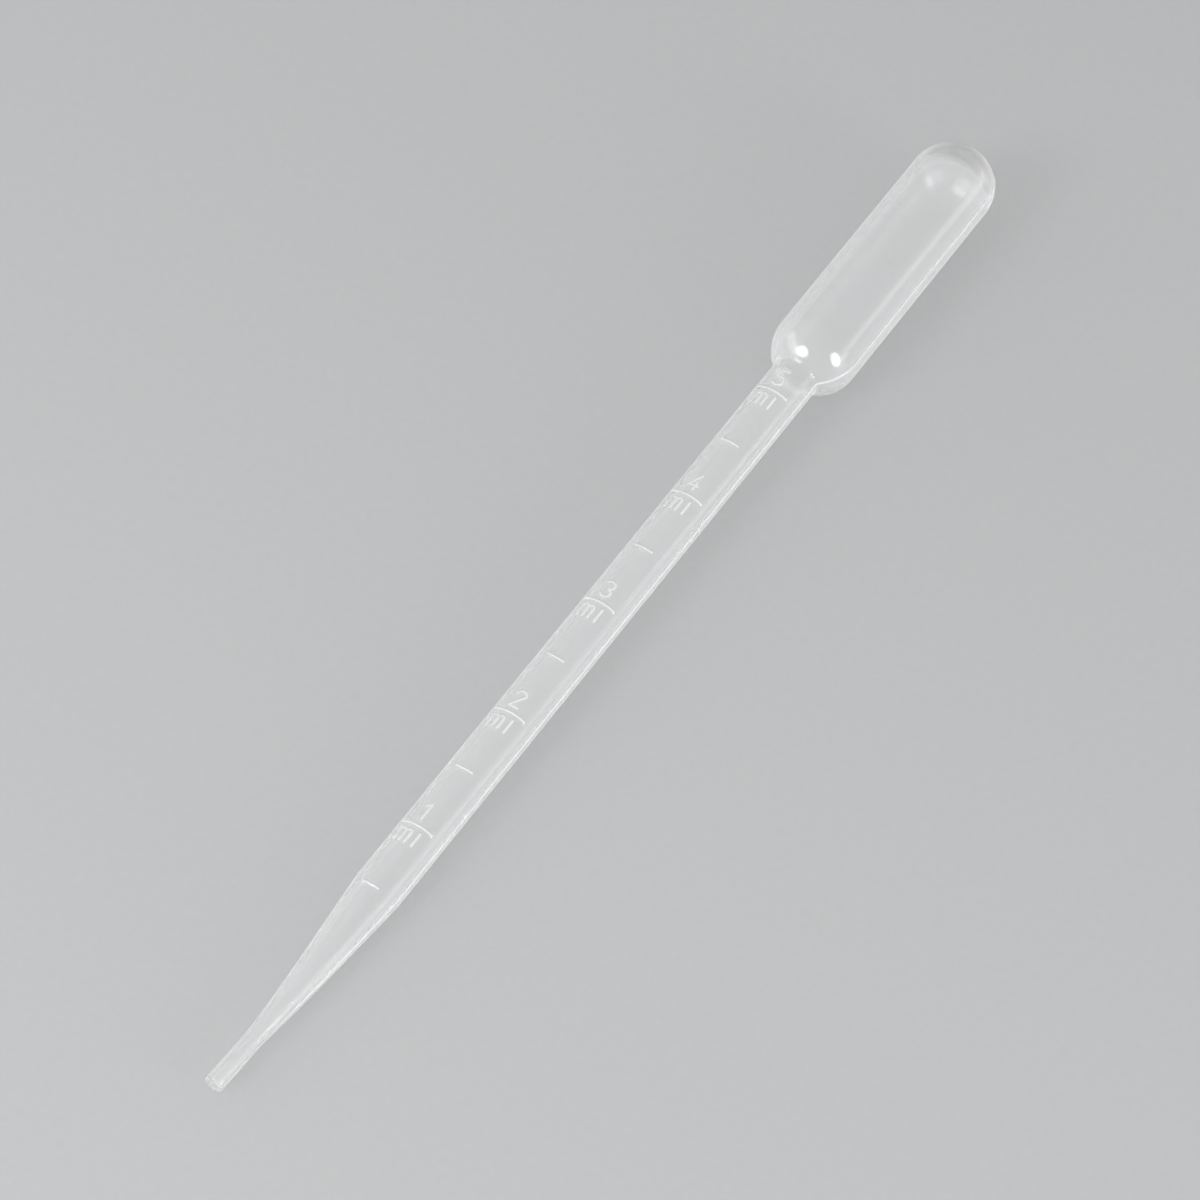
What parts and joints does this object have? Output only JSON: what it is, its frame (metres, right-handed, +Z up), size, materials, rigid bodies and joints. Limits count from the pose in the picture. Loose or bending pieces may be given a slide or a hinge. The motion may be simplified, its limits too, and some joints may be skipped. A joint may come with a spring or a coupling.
{
  "type": "plastic dropper pipette",
  "caption": "One-piece translucent transfer pipette: a soft squeeze bulb, a long graduated stem and a fine tapered tip that draws up and drops liquid.",
  "frame": {"origin": "middle of the footprint, on the flat surface that the pipette lies on", "axes": "+X from the tip towards the squeeze bulb, +Z up, with the raised scale facing up; the long axis slopes up to the bulb by about 1.6 degrees, because the wide bulb and the end of the stem both touch the surface"},
  "size_m": [0.2218, 0.0152, 0.0164],
  "materials": {
    "polyethylene": "natural low-density polyethylene: translucent, faintly milky, satin outside"
  },
  "bodies": {
    "root": {"pipette": "polyethylene"}
  },
  "joints": []
}
